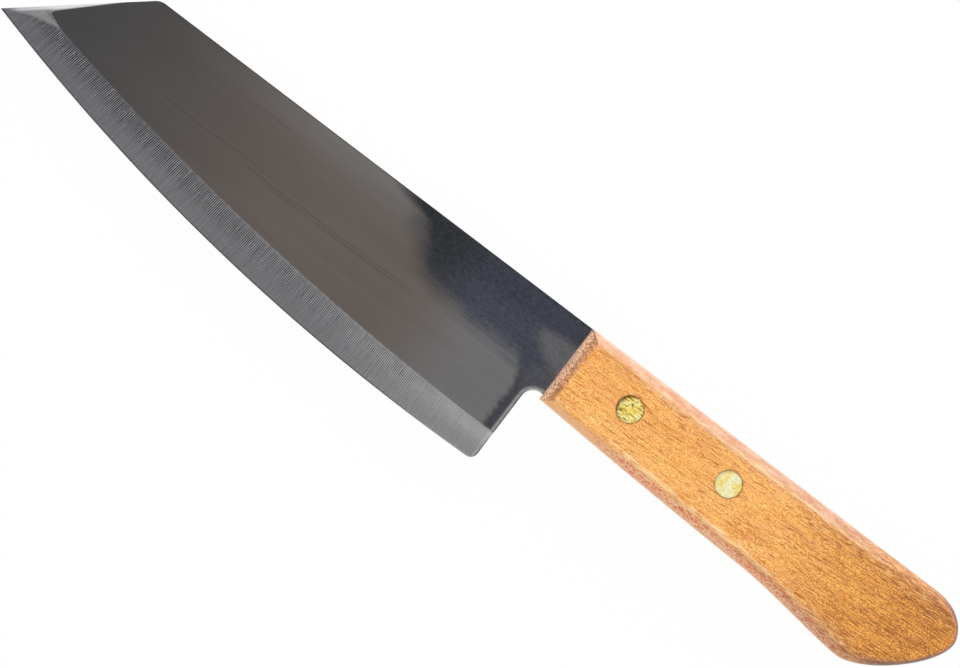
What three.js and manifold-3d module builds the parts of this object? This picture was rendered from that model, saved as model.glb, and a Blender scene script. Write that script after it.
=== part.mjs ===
// A thin stamped kitchen knife with a clip point. The blade and its half tang are one piece of steel
// sheet. The tang sits in a saw kerf in a one-piece hardwood handle, and two brass cutlery rivets hold
// it there. Each rivet is a headed barrel and a headed pin, pressed into each other from the two sides.
//
// Millimetres. The knife lies on the side of its handle: X runs from the tip to the butt, Y from the
// cutting edge to the spine, and Z up, square to the blade. The origin is on the surface that the knife
// lies on, under the middle of its length and width.

import * as THREE from "three";
import { mergeVertices } from "three/addons/utils/BufferGeometryUtils.js";
import Module from "manifold-3d";

// Blade. Lengths are measured from the front of the handle, and widths and drops from the spine.
const BLADE_LENGTH = 165;
const BLADE_WIDTH = 44.3; // at the lowest point of the cutting edge
const SHEET_THICKNESS = 1.5;
const TIP_DROP = 25.6;
const CLIP_ANGLE = THREE.MathUtils.degToRad(40); // between the clip and the spine
const CLIP_CORNER_RADIUS = 4;
const EDGE_LOW_POINT = 24; // ahead of the handle, where the cutting edge is lowest
const HEEL_GAP = 4; // between the back of the heel and the handle
const HEEL_RADIUS = 2.2;
const CHOIL_RADIUS = 3.4;
const STAMPED_CHAMFER = 0.15; // broken edges of the stamping

// Grinds on both sides of the blade
const BEVEL_WIDTH = 9.6; // from the cutting edge to the bevel's shoulder
const EDGE_THICKNESS = 0.2; // steel left at the cutting edge
const SWEDGE_LENGTH = 24; // along the clip, from the tip to where the swedge runs out
const SWEDGE_TAPER = THREE.MathUtils.degToRad(5); // between the swedge's border and the clip, in plan

// Tang, as wide all along as the neck between the heel and the handle
const NECK_WIDTH = 20.4;
const TANG_BEHIND_RIVET = 12.3; // from the rear rivet to the tang's end
const TANG_CORNER_RADIUS = 2;

// Handle, with its top in line with the spine
const HANDLE_LENGTH = 118.2;
const HANDLE_THICKNESS = 16;
const HANDLE_FRONT_WIDTH = 21.8;
const HANDLE_WAIST_WIDTH = 24.6; // where the flare begins
const BOTTOM_BULGE = 0.25; // of the bottom between the front and the waist, past a straight line
const HANDLE_BUTT_WIDTH = 27.8; // at the lowest point of the butt
const FLARE_LENGTH = 30.5; // from the waist to the lowest point of the butt
const FLARE_LEAD_IN = 8; // reach of the flare's tangent at the waist
const FLARE_LEAD_OUT = 5; // reach of the flare's tangent at the lowest point
const BUTT_LENGTH = 21.7; // from the lowest point of the butt to its nose
const BUTT_LEAD_IN = 7.5; // reach of the butt's lower tangent at the lowest point
const BUTT_LEAD_OUT = 7; // reach of the butt's lower tangent at the nose
const NOSE_DROP = 8; // from the top of the handle to the nose
const NOSE_LEAD_IN = 2.4; // reach of the upper tangent at the nose
const NOSE_LENGTH = 11.2; // from the end of the straight top to the nose
const NOSE_LEAD_OUT = 8; // reach of the upper tangent at the straight top

// Rounded edges of the handle, as wide as they look from the side
const SIDE_ROUND_FRONT = 2.3;
const SIDE_ROUND_REAR = 3.1;
const FRONT_CHAMFER = 3.2;
const BUTT_ROUND = 1.2;
const ROUND_DEPTH = 4; // through the handle's thickness
const ROUND_CREASE = THREE.MathUtils.degToRad(20); // angle that the rounding starts at on the flat side
const ROUND_STEPS = 5;

// Saw kerf for the tang, open at the front, top and bottom of the handle
const KERF_CLEARANCE = 0.1; // on each side of the tang
const KERF_END_CLEARANCE = 0.5; // behind the corners of the tang
const SAW_RADIUS = 100; // of the saw that leaves the kerf's round end

// Cutlery rivets
const FRONT_RIVET_X = 19.2; // behind the front of the handle
const RIVET_SPACING = 30.5;
const RIVET_DROP = 10.3; // from the top of the handle to the rivets' line
const PIN_RADIUS = 1.5;
const BARREL_WALL = 0.9;
const HEAD_OVERHANG = 1; // of a head past the barrel
const HEAD_THICKNESS = 1.6;
const HEAD_SINK = 0.15; // below the side of the handle
const RIVET_CLEARANCE = 0.1; // round the heads, the barrels and the pins
const BARREL_END_GAP = 2.5; // from a barrel's open end to the other head
const PIN_END_GAP = 2.5; // from a pin's end to the other head
const BORE_END_GAP = 1; // from a pin's end to the bottom of the barrel's bore

// Fineness of the round stretches
const CURVE_SEGMENTS = 16;
const GRIND_SEGMENTS = 360;
const LATHE_SEGMENTS = 32;
const OVERSHOOT = 2; // how far a cutter reaches past what it cuts

const STEEL = new THREE.MeshStandardMaterial({ color: 0x8a8885, roughness: 0.3, metalness: 1 });
const WOOD = new THREE.MeshStandardMaterial({ color: 0xe0a05c, roughness: 0.55, metalness: 0 });
const BRASS = new THREE.MeshStandardMaterial({ color: 0xdcc06a, roughness: 0.4, metalness: 1 });

const wasm = await Module();
wasm.setup();

// A closed geometry as a solid that can be joined and cut.
function solidOf(geometry) {
  const bare = geometry.clone();
  bare.deleteAttribute("normal");
  bare.deleteAttribute("uv");
  const merged = mergeVertices(bare);
  return new wasm.Manifold(
    new wasm.Mesh({
      numProp: 3,
      vertProperties: merged.attributes.position.array,
      triVerts: new Uint32Array(merged.index.array),
    }),
  );
}

// A cut solid as a geometry again.
function geometryOf(solid) {
  const mesh = solid.getMesh();
  const geometry = new THREE.BufferGeometry();
  geometry.setAttribute("position", new THREE.BufferAttribute(mesh.vertProperties, 3));
  geometry.setIndex(new THREE.BufferAttribute(mesh.triVerts, 1));
  geometry.computeVertexNormals();
  return geometry;
}

// A body with the cutters taken away from it, one after the other.
function cut(body, cutters) {
  const solid = cutters.reduce((left, cutter) => left.subtract(solidOf(cutter)), solidOf(body));
  return geometryOf(solid);
}

// A solid of revolution about Z. The profile's pairs are radius and height, from low to high outside.
function turned(profile, segments = LATHE_SEGMENTS) {
  const points = profile.map(([radius, height]) => new THREE.Vector2(radius, height));
  return new THREE.LatheGeometry(points, segments).rotateX(Math.PI / 2);
}

// Sizes that several pieces share

const rivets = [
  { name: "front_rivet", x: FRONT_RIVET_X },
  { name: "rear_rivet", x: FRONT_RIVET_X + RIVET_SPACING },
];
const tangLength = FRONT_RIVET_X + RIVET_SPACING + TANG_BEHIND_RIVET;
const barrelRadius = PIN_RADIUS + RIVET_CLEARANCE + BARREL_WALL;
const headRadius = barrelRadius + HEAD_OVERHANG;
const headHeight = HANDLE_THICKNESS / 2 - HEAD_SINK; // outside of a rivet's head
const seatHeight = headHeight - HEAD_THICKNESS; // underside of a rivet's head

// Blade

const tip = new THREE.Vector2(-BLADE_LENGTH, -TIP_DROP);

// The cutting edge is one arc. It is lowest at EDGE_LOW_POINT and ends at the tip.
const edgeRise = BLADE_WIDTH - TIP_DROP;
const edgeRun = BLADE_LENGTH - EDGE_LOW_POINT;
const edgeRadius = (edgeRun ** 2 + edgeRise ** 2) / (2 * edgeRise);
const edgeCentre = new THREE.Vector2(-EDGE_LOW_POINT, edgeRadius - BLADE_WIDTH);

// The stamped outline, from the tip along the edge, round the heel and the tang and back along the spine.
function bladeOutline() {
  const heelX = -HEEL_GAP - HEEL_RADIUS;
  const heelReach = Math.sqrt((edgeRadius - HEEL_RADIUS) ** 2 - (heelX - edgeCentre.x) ** 2);
  const heelCentre = new THREE.Vector2(heelX, edgeCentre.y - heelReach);
  const tipAngle = tip.clone().sub(edgeCentre).angle();
  const heelAngle = heelCentre.clone().sub(edgeCentre).angle();
  const tangCornerX = tangLength - TANG_CORNER_RADIUS;
  const clipCornerX = tip.x + TIP_DROP / Math.tan(CLIP_ANGLE);
  const clipRoundX = clipCornerX + CLIP_CORNER_RADIUS * Math.tan(CLIP_ANGLE / 2);
  const right = 2 * Math.PI;
  const down = -Math.PI / 2;
  const up = Math.PI / 2;

  const outline = new THREE.Shape();
  outline.absarc(edgeCentre.x, edgeCentre.y, edgeRadius, tipAngle, heelAngle);
  outline.absarc(heelCentre.x, heelCentre.y, HEEL_RADIUS, heelAngle, right);
  outline.absarc(
    CHOIL_RADIUS - HEEL_GAP,
    -NECK_WIDTH - CHOIL_RADIUS,
    CHOIL_RADIUS,
    Math.PI,
    up,
    true,
  );
  outline.absarc(tangCornerX, TANG_CORNER_RADIUS - NECK_WIDTH, TANG_CORNER_RADIUS, down, 0);
  outline.absarc(tangCornerX, -TANG_CORNER_RADIUS, TANG_CORNER_RADIUS, 0, up);
  outline.absarc(clipRoundX, -CLIP_CORNER_RADIUS, CLIP_CORNER_RADIUS, up, up + CLIP_ANGLE);
  outline.closePath();
  for (const rivet of rivets) {
    const hole = new THREE.Path();
    hole.absarc(rivet.x, -RIVET_DROP, barrelRadius + RIVET_CLEARANCE, 0, 2 * Math.PI, true);
    outline.holes.push(hole);
  }
  return outline;
}

// What the grinding of one side takes off: a cone about the centre of the edge's arc, so the bevel is
// BEVEL_WIDTH wide all along and EDGE_THICKNESS thick at the edge. Side is 1 or -1, for +Z or -Z.
function bevelCutter(side) {
  const shoulder = edgeRadius - BEVEL_WIDTH;
  const face = SHEET_THICKNESS / 2;
  const slope = (SHEET_THICKNESS - EDGE_THICKNESS) / 2 / BEVEL_WIDTH;
  const low = face - slope * (BEVEL_WIDTH + OVERSHOOT);
  const profile = [
    [shoulder, face],
    [edgeRadius + OVERSHOOT, low],
    [edgeRadius + OVERSHOOT, face + OVERSHOOT],
    [shoulder, face + OVERSHOOT],
    [shoulder, face],
  ];
  const sided = profile.map(([radius, height]) => [radius, side * height]);
  const cone = turned(side > 0 ? sided : sided.reverse(), GRIND_SEGMENTS);
  return cone.translate(edgeCentre.x, edgeCentre.y, 0);
}

// What the swedge takes off one side of the clip: all that lies above a plane that leaves the flat at
// an angle of SWEDGE_TAPER to the clip and comes down to the edge's thickness at the tip.
function swedgeCutter(side) {
  const clip = new THREE.Vector2(Math.cos(CLIP_ANGLE), Math.sin(CLIP_ANGLE));
  const start = tip.clone().addScaledVector(clip, SWEDGE_LENGTH);
  const bearing = CLIP_ANGLE + SWEDGE_TAPER;
  const width = SWEDGE_LENGTH * Math.sin(SWEDGE_TAPER);
  const fall = Math.atan2((SHEET_THICKNESS - EDGE_THICKNESS) / 2, width);
  const along = new THREE.Vector3(Math.cos(bearing), Math.sin(bearing), 0);
  const out = new THREE.Vector3(-Math.sin(bearing), Math.cos(bearing), 0);
  const across = out.multiplyScalar(Math.cos(fall)).setZ(-side * Math.sin(fall));
  const normal = new THREE.Vector3().crossVectors(along, across).multiplyScalar(side);
  const place = new THREE.Matrix4()
    .makeBasis(along.multiplyScalar(side), across, normal)
    .setPosition(start.x, start.y, (side * SHEET_THICKNESS) / 2);
  const reach = width + SHEET_THICKNESS + OVERSHOOT;
  return new THREE.BoxGeometry(2 * SWEDGE_LENGTH + OVERSHOOT, reach, SHEET_THICKNESS + OVERSHOOT)
    .translate(0, reach / 2, (SHEET_THICKNESS + OVERSHOOT) / 2)
    .applyMatrix4(place);
}

function blade() {
  const depth = SHEET_THICKNESS - 2 * STAMPED_CHAMFER;
  const blank = new THREE.ExtrudeGeometry(bladeOutline(), {
    depth,
    bevelThickness: STAMPED_CHAMFER,
    bevelSize: STAMPED_CHAMFER,
    bevelOffset: -STAMPED_CHAMFER,
    bevelSegments: 1,
    curveSegments: CURVE_SEGMENTS,
  }).translate(0, 0, -depth / 2);
  const grinds = [1, -1].flatMap((side) => [bevelCutter(side), swedgeCutter(side)]);
  return cut(blank, grinds);
}

// Handle

// The outline seen from the side, from the front's lower corner along the bottom, round the butt and
// back along the top.
function handleOutline() {
  const lowX = HANDLE_LENGTH - BUTT_LENGTH;
  const waistX = lowX - FLARE_LENGTH;
  const topEndX = HANDLE_LENGTH - NOSE_LENGTH;
  const bellyX = waistX / 2;
  const bellyWidth = (HANDLE_FRONT_WIDTH + HANDLE_WAIST_WIDTH) / 2 + 2 * BOTTOM_BULGE;
  const waistSlope = (HANDLE_WAIST_WIDTH - bellyWidth) / (waistX - bellyX);
  const outline = new THREE.Shape();
  outline.moveTo(0, -HANDLE_FRONT_WIDTH);
  outline.quadraticCurveTo(bellyX, -bellyWidth, waistX, -HANDLE_WAIST_WIDTH);
  outline.bezierCurveTo(
    waistX + FLARE_LEAD_IN,
    -HANDLE_WAIST_WIDTH - waistSlope * FLARE_LEAD_IN,
    lowX - FLARE_LEAD_OUT,
    -HANDLE_BUTT_WIDTH,
    lowX,
    -HANDLE_BUTT_WIDTH,
  );
  outline.bezierCurveTo(
    lowX + BUTT_LEAD_IN,
    -HANDLE_BUTT_WIDTH,
    HANDLE_LENGTH,
    -NOSE_DROP - BUTT_LEAD_OUT,
    HANDLE_LENGTH,
    -NOSE_DROP,
  );
  outline.bezierCurveTo(
    HANDLE_LENGTH,
    -NOSE_DROP + NOSE_LEAD_IN,
    topEndX + NOSE_LEAD_OUT,
    0,
    topEndX,
    0,
  );
  outline.lineTo(lowX, 0);
  outline.lineTo(0, 0);
  return outline.getPoints(CURVE_SEGMENTS);
}

// How wide the rounded edge is at a distance from the front: it grows along the sides and shrinks again
// round the butt.
function roundWidth(x) {
  const lowX = HANDLE_LENGTH - BUTT_LENGTH;
  const side = THREE.MathUtils.lerp(SIDE_ROUND_FRONT, SIDE_ROUND_REAR, Math.min(x / lowX, 1));
  return THREE.MathUtils.lerp(side, BUTT_ROUND, THREE.MathUtils.smoothstep(x, lowX, HANDLE_LENGTH));
}

// For each point of the outline, the step inwards to the border of the flat side.
function roundSteps(outline) {
  const inward = (from, to) => new THREE.Vector2(from.y - to.y, to.x - from.x).normalize();
  return outline.map((point, i) => {
    const before = inward(outline.at(i - 1), point);
    const after = inward(point, outline[(i + 1) % outline.length]);
    const width = roundWidth(point.x);
    if (point.x === 0) {
      const side = point.y === 0 ? before : after;
      return side.multiplyScalar(width).setX(FRONT_CHAMFER);
    }
    const mitre = 1 + before.dot(after);
    return before.add(after).multiplyScalar(width / mitre);
  });
}

// The rounded blank: rings of points from the upper flat side over the rounded edge, down the wall and
// over the lower rounded edge, with a flat cap on each side.
function handleBlank() {
  const outline = handleOutline();
  const steps = roundSteps(outline);
  const half = HANDLE_THICKNESS / 2;
  const upper = Array.from({ length: ROUND_STEPS + 1 }, (_, k) => {
    const angle = THREE.MathUtils.lerp(ROUND_CREASE, Math.PI / 2, k / ROUND_STEPS);
    const out = (Math.sin(angle) - Math.sin(ROUND_CREASE)) / (1 - Math.sin(ROUND_CREASE));
    const down = 1 - Math.cos(angle) / Math.cos(ROUND_CREASE);
    return { inset: 1 - out, z: half - ROUND_DEPTH * down };
  });
  const lower = upper.map(({ inset, z }) => ({ inset, z: -z })).reverse();
  const rings = [...upper, ...lower];

  const count = outline.length;
  const positions = rings.flatMap(({ inset, z }) =>
    outline.flatMap((point, i) => {
      const place = point.clone().addScaledVector(steps[i], inset);
      return [place.x, place.y, z];
    }),
  );
  const faces = [];
  for (let ring = 0; ring < rings.length - 1; ring++) {
    for (let i = 0; i < count; i++) {
      const next = (i + 1) % count;
      const [a, b] = [ring * count + i, ring * count + next];
      const [c, d] = [a + count, b + count];
      faces.push(a, c, d, a, d, b);
    }
  }
  const border = outline.map((point, i) => point.clone().add(steps[i]));
  const lastRing = (rings.length - 1) * count;
  for (const [a, b, c] of THREE.ShapeUtils.triangulateShape(border, [])) {
    faces.push(a, b, c);
    faces.push(lastRing + c, lastRing + b, lastRing + a);
  }
  const blank = new THREE.BufferGeometry();
  blank.setAttribute("position", new THREE.Float32BufferAttribute(positions, 3));
  blank.setIndex(faces);
  return blank;
}

// What the saw takes out: a slot as thick as the tang and its clearance, with the saw's round end.
function kerfCutter() {
  const top = OVERSHOOT;
  const bottom = -HANDLE_BUTT_WIDTH - OVERSHOOT;
  const middle = -NECK_WIDTH / 2;
  const cornerX = tangLength + KERF_END_CLEARANCE;
  const centreX = cornerX - Math.sqrt(SAW_RADIUS ** 2 - middle ** 2);
  const slot = new THREE.Shape();
  slot.moveTo(-OVERSHOOT, top);
  slot.lineTo(-OVERSHOOT, bottom);
  slot.absarc(
    centreX,
    middle,
    SAW_RADIUS,
    Math.asin((bottom - middle) / SAW_RADIUS),
    Math.asin((top - middle) / SAW_RADIUS),
  );
  slot.closePath();
  const width = SHEET_THICKNESS + 2 * KERF_CLEARANCE;
  return new THREE.ExtrudeGeometry(slot, {
    depth: width,
    bevelEnabled: false,
    curveSegments: CURVE_SEGMENTS,
  }).translate(0, 0, -width / 2);
}

// What the stepped drill takes out for one rivet: a bore for its barrel and a seat for each head.
function rivetBoreCutter(rivet) {
  const end = HANDLE_THICKNESS / 2 + OVERSHOOT;
  const seat = headRadius + RIVET_CLEARANCE;
  const bore = barrelRadius + RIVET_CLEARANCE;
  return turned([
    [0, -end],
    [seat, -end],
    [seat, -seatHeight],
    [bore, -seatHeight],
    [bore, seatHeight],
    [seat, seatHeight],
    [seat, end],
    [0, end],
  ]).translate(rivet.x, -RIVET_DROP, 0);
}

function handle() {
  return cut(handleBlank(), [kerfCutter(), ...rivets.map(rivetBoreCutter)]);
}

// Rivets

const pinEnd = seatHeight - PIN_END_GAP; // height of a pin's end, inside its barrel

// The hollow half, with its head on the +Z side.
function rivetBarrel() {
  const openEnd = BARREL_END_GAP - seatHeight;
  const boreEnd = pinEnd + BORE_END_GAP;
  const bore = PIN_RADIUS + RIVET_CLEARANCE;
  return turned([
    [0, boreEnd],
    [bore, boreEnd],
    [bore, openEnd],
    [barrelRadius, openEnd],
    [barrelRadius, seatHeight],
    [headRadius, seatHeight],
    [headRadius, headHeight],
    [0, headHeight],
  ]);
}

// The solid half, with its head on the -Z side.
function rivetPin() {
  return turned([
    [0, -headHeight],
    [headRadius, -headHeight],
    [headRadius, -seatHeight],
    [PIN_RADIUS, -seatHeight],
    [PIN_RADIUS, pinEnd],
    [0, pinEnd],
  ]);
}

// Assembly

function named(name, geometry, material) {
  const mesh = new THREE.Mesh(geometry, material);
  mesh.name = name;
  return mesh;
}

const knife = new THREE.Group();
knife.position.set((BLADE_LENGTH - HANDLE_LENGTH) / 2, BLADE_WIDTH / 2, HANDLE_THICKNESS / 2);
knife.add(named("blade", blade(), STEEL));
knife.add(named("handle", handle(), WOOD));
for (const rivet of rivets) {
  const pair = new THREE.Group();
  pair.position.set(rivet.x, -RIVET_DROP, 0);
  pair.add(named(`${rivet.name}_barrel`, rivetBarrel(), BRASS));
  pair.add(named(`${rivet.name}_pin`, rivetPin(), BRASS));
  knife.add(pair);
}

const part = new THREE.Group();
part.add(knife);

export default part;
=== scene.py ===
import math

import bmesh
import bpy
import numpy as np
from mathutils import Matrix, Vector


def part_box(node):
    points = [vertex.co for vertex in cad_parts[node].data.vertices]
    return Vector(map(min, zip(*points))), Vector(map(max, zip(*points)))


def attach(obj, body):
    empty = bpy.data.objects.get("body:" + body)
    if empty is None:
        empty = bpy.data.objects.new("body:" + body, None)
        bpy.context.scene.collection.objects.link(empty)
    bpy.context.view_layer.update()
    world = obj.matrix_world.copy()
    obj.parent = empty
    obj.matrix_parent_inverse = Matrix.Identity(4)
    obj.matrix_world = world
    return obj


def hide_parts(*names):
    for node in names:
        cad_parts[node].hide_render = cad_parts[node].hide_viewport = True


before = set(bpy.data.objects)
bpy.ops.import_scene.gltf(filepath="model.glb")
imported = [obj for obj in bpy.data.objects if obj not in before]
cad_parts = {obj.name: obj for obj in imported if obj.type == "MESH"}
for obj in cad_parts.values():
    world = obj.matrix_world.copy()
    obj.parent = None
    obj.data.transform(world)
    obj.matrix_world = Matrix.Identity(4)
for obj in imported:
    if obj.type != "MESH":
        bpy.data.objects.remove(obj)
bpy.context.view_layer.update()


# Blade: one stamping of thin stainless sheet, polished along its length. Both sides are ground to a
# wide bevel along the cutting edge and to a narrow one along the clip, and the heel's back is eased.
# Its half tang lies in the handle's kerf, with a hole for each rivet.

MM = 0.001
blade_low, blade_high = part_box("blade")
handle_low, handle_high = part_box("handle")
front_x = handle_low.x
spine_y = blade_high.y
mid_z = (blade_low.z + blade_high.z) / 2
sheet_half = (blade_high.z - blade_low.z) / 2

TIP_DROP = 25.6 * MM
EDGE_LOW_POINT = 24 * MM
CLIP_ANGLE = math.radians(40)
CLIP_CORNER_RADIUS = 4 * MM
HEEL_GAP = 4 * MM
HEEL_RADIUS = 2.2 * MM
CHOIL_RADIUS = 3.4 * MM
NECK_WIDTH = 20.4 * MM
TANG_CORNER_RADIUS = 2 * MM
BEVEL_WIDTH = 9.85 * MM
BEVEL_NARROWING = 0.9 * MM
BEVEL_WIDEST_X = -78 * MM
BEVEL_HALF_SPAN = 62 * MM
BEVEL_EDGE_HALF = 0.1 * MM
KEEN_EDGE_HALF = 0.03 * MM
KEEN_EDGE_SLOPE = 0.27
SWEDGE_LENGTH = 31.5 * MM
SWEDGE_TAPER = math.radians(4.1)
FACET_END_X = -150 * MM
FACET_WIDTH = 5.2 * MM
FACET_ANGLE = math.radians(-22)
FACET_SLOPE = 0.055
CORNER_ROUNDING = 1.0 * MM
SPINE_EASING = 0.12 * MM
HEEL_EASING = 1.2 * MM
CHOIL_EASING = 0.9 * MM
EASING_DROP = 0.12 * MM
HEEL_DROP = 0.35 * MM
BLADE_ROWS = 14
ROW_CROWDING = 2.2
EDGE_STEPS = 420
HEEL_STEPS = 48
CHOIL_STEPS = 32
NECK_STEPS = 120
TANG_END_STEPS = 24
SPINE_STEPS = 320
CLIP_STEPS = 160
TURN_STEPS = 24
TANG_TURN_STEPS = 12
BLADE_CREASE = 20

tip = np.array((blade_low.x, spine_y - TIP_DROP))
edge_low = np.array((front_x - EDGE_LOW_POINT, blade_low.y))
half_span, edge_rise = edge_low[0] - tip[0], tip[1] - edge_low[1]
edge_radius = (half_span ** 2 + edge_rise ** 2) / (2 * edge_rise)
edge_centre = edge_low + (0, edge_radius)


def direction(angle):
    """The unit vector, or vectors, at an angle in the plan."""
    return np.stack((np.cos(angle), np.sin(angle)), axis=-1)


def angle_of(vector):
    """The angle of a vector in the plan."""
    return math.atan2(vector[1], vector[0])


def bevel_width(x):
    """Width of the bevel: widest near the middle, and less by the square of the distance from there."""
    return BEVEL_WIDTH - BEVEL_NARROWING * ((x - front_x - BEVEL_WIDEST_X) / BEVEL_HALF_SPAN) ** 2


# The swedge is a plane that leaves the flat along a line down from the clip. A small facet takes over
# from it at the flat's corner, which is rounded, and leaves the flat along a line down to the bevel.
swedge_start = tip + SWEDGE_LENGTH * direction(CLIP_ANGLE)
swedge_along = -direction(CLIP_ANGLE + SWEDGE_TAPER)
swedge_out = np.array((swedge_along[1], -swedge_along[0]))
swedge_slope = (sheet_half - BEVEL_EDGE_HALF) / (swedge_out @ (tip - swedge_start))
facet_along = direction(FACET_ANGLE)
facet_out = np.array((facet_along[1], -facet_along[0]))
facet_offset = swedge_start + FACET_WIDTH * facet_along - edge_centre
ahead = swedge_along @ facet_offset
shoulder_radius = edge_radius - bevel_width(front_x + FACET_END_X)
corner_reach = -ahead + math.sqrt(ahead ** 2 - facet_offset @ facet_offset + shoulder_radius ** 2)
flat_corner = swedge_start + corner_reach * swedge_along
facet_end = flat_corner + FACET_WIDTH * facet_along


def half_thickness(plan, inset, easing, drop):
    """Half the sheet's thickness over the plan.

    It is the least of the flat, the bevel, which falls evenly to the edge over its width, the keen edge's
    steeper slope, the ground tip and a quarter of an ellipse along the eased outline. The ground tip falls
    with the distances past the swedge's and the facet's lines, joined as the sides of a right triangle,
    which rounds the corner between them.
    """
    depth = edge_radius - np.linalg.norm(plan - edge_centre, axis=-1)
    bevel = BEVEL_EDGE_HALF + (sheet_half - BEVEL_EDGE_HALF) * depth / bevel_width(plan[..., 0])
    keen = KEEN_EDGE_HALF + KEEN_EDGE_SLOPE * depth
    past_swedge = np.maximum((plan - flat_corner) @ swedge_out + CORNER_ROUNDING, 1e-9)
    past_facet = np.maximum((plan - flat_corner) @ facet_out + CORNER_ROUNDING, 1e-9)
    past_both = np.hypot(past_swedge, past_facet)
    slope = (swedge_slope * past_swedge ** 2 + FACET_SLOPE * past_facet ** 2) / past_both ** 2
    ground_tip = sheet_half - slope * (past_both - CORNER_ROUNDING)
    short = np.clip(1 - inset / easing, 0, 1)
    eased = sheet_half - drop * (1 - np.sqrt(1 - short ** 2))
    least = np.minimum.reduce((bevel, keen, ground_tip, eased, np.full_like(bevel, sheet_half)))
    return np.maximum(least, KEEN_EDGE_HALF)


def on_circle(centre, radius, angles):
    """Points at the given angles on a circle."""
    return np.asarray(centre) + radius * direction(angles)


heel_x = front_x - HEEL_GAP
fillet_x = heel_x - HEEL_RADIUS
fillet_drop = math.sqrt((edge_radius - HEEL_RADIUS) ** 2 - (fillet_x - edge_centre[0]) ** 2)
fillet_centre = np.array((fillet_x, edge_centre[1] - fillet_drop))
heel_angle = angle_of(fillet_centre - edge_centre)
bevel_end = on_circle(edge_centre, edge_radius - bevel_width(fillet_x), heel_angle)
rim = heel_x - bevel_end[0]
choil_centre = np.array((heel_x + CHOIL_RADIUS, spine_y - NECK_WIDTH - CHOIL_RADIUS))
neck_y = spine_y - NECK_WIDTH
tang_x = blade_high.x
clip_run = CLIP_CORNER_RADIUS * math.tan(CLIP_ANGLE / 2)
clip_corner_x = tip[0] + TIP_DROP / math.tan(CLIP_ANGLE) + clip_run
corner_centre = np.array((clip_corner_x, spine_y - CLIP_CORNER_RADIUS))

# Stretches of the outline, counterclockwise from the tip, each with the border of the flat behind it and
# the width and drop of its easing.
edge_angles = np.linspace(angle_of(tip - edge_centre), heel_angle, EDGE_STEPS)
facet_angle = angle_of(facet_end - edge_centre)
bevel_angles = np.maximum(edge_angles, facet_angle)
bevel_foot = on_circle(edge_centre, edge_radius, bevel_angles)
shoulder = bevel_foot - bevel_width(bevel_foot[:, :1]) * direction(bevel_angles)
before_facet = np.clip((facet_angle - edge_angles) / (facet_angle - edge_angles[0]), 0, 1)
shoulder -= (FACET_WIDTH - CORNER_ROUNDING) * before_facet[:, None] * facet_along
fillet_angles = np.linspace(heel_angle, 0, TURN_STEPS)
heel_back = np.linspace((heel_x, fillet_centre[1]), (heel_x, choil_centre[1]), HEEL_STEPS)
choil_angles = np.linspace(math.pi, math.pi / 2, CHOIL_STEPS)
neck = np.linspace((choil_centre[0], neck_y), (tang_x - TANG_CORNER_RADIUS, neck_y), NECK_STEPS)
lower_corner = (tang_x - TANG_CORNER_RADIUS, neck_y + TANG_CORNER_RADIUS)
upper_corner = (tang_x - TANG_CORNER_RADIUS, spine_y - TANG_CORNER_RADIUS)
lower_turn = np.linspace(-math.pi / 2, 0, TANG_TURN_STEPS)
tang_end = np.linspace((tang_x, lower_corner[1]), (tang_x, upper_corner[1]), TANG_END_STEPS)
upper_turn = np.linspace(0, math.pi / 2, TANG_TURN_STEPS)
spine = np.linspace((upper_corner[0], spine_y), (clip_corner_x, spine_y), SPINE_STEPS)
corner_turn = np.linspace(math.pi / 2, math.pi / 2 + CLIP_ANGLE, TURN_STEPS)
clip = np.linspace(on_circle(corner_centre, CLIP_CORNER_RADIUS, corner_turn[-1]), tip, CLIP_STEPS)

lower_inner = (tang_x - rim, neck_y + rim)
upper_inner = (tang_x - rim, spine_y - rim)
clip_reach = np.linalg.norm(clip - tip, axis=1)
corner_foot = direction(CLIP_ANGLE) @ (flat_corner - tip)
swedge_width = (SWEDGE_LENGTH - clip_reach) * math.tan(SWEDGE_TAPER)
past_swedge = np.clip((clip_reach - SWEDGE_LENGTH) / (clip_reach[0] - SWEDGE_LENGTH), 0, 1)
clip_inset = np.maximum(swedge_width, 2 * SPINE_EASING + (rim - 2 * SPINE_EASING) * past_swedge)
clip_inner = clip + clip_inset[:, None] * direction(CLIP_ANGLE - math.pi / 2)

# Where the corner is rounded, the distances past the two lines trace a quarter of a circle.
rounded = clip_reach < corner_foot
turn = np.linspace(0, math.pi / 2, np.count_nonzero(rounded))
past_lines = CORNER_ROUNDING * (np.column_stack((np.cos(turn), np.sin(turn))) - 1)
clip_inner[rounded] = flat_corner + past_lines @ np.linalg.inv(np.column_stack((swedge_out, facet_out)))

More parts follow.
